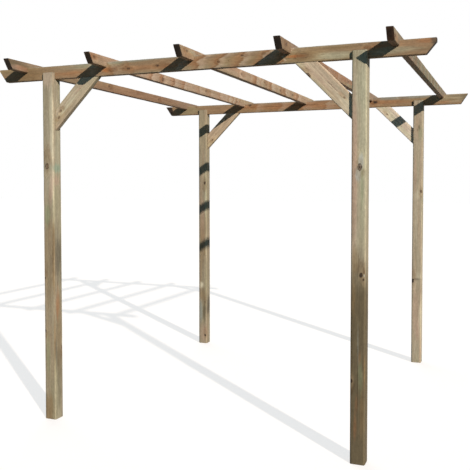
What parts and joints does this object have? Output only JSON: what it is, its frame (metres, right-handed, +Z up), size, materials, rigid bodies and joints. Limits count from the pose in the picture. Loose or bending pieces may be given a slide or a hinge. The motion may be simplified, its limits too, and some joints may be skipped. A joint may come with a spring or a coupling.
{
  "type": "pergola",
  "caption": "Open timber garden pergola: square posts with slotted tops, two long beams, notched rafters with undercut tails, and corner braces.",
  "frame": {"origin": "on the ground, in the middle of the four posts", "axes": "+Z up, +X to the right along the beams, +Y to the back along the rafters; the front faces -Y"},
  "size_m": [3, 3, 2.479],
  "materials": {
    "post_wood": "matt weathered softwood, pale grey tan",
    "beam_wood": "matt weathered softwood, warm brown",
    "rafter_wood": "matt weathered softwood, warm brown",
    "brace_wood": "matt weathered softwood, pale tan"
  },
  "bodies": {
    "root": {"front_left_post": "post_wood", "front_right_post": "post_wood", "back_left_post": "post_wood", "back_right_post": "post_wood", "front_beam": "beam_wood", "back_beam": "beam_wood", "rafter_1": "rafter_wood", "rafter_2": "rafter_wood", "rafter_3": "rafter_wood", "rafter_4": "rafter_wood", "rafter_5": "rafter_wood", "front_left_brace": "brace_wood", "front_right_brace": "brace_wood", "back_left_brace": "brace_wood", "back_right_brace": "brace_wood"}
  },
  "joints": []
}
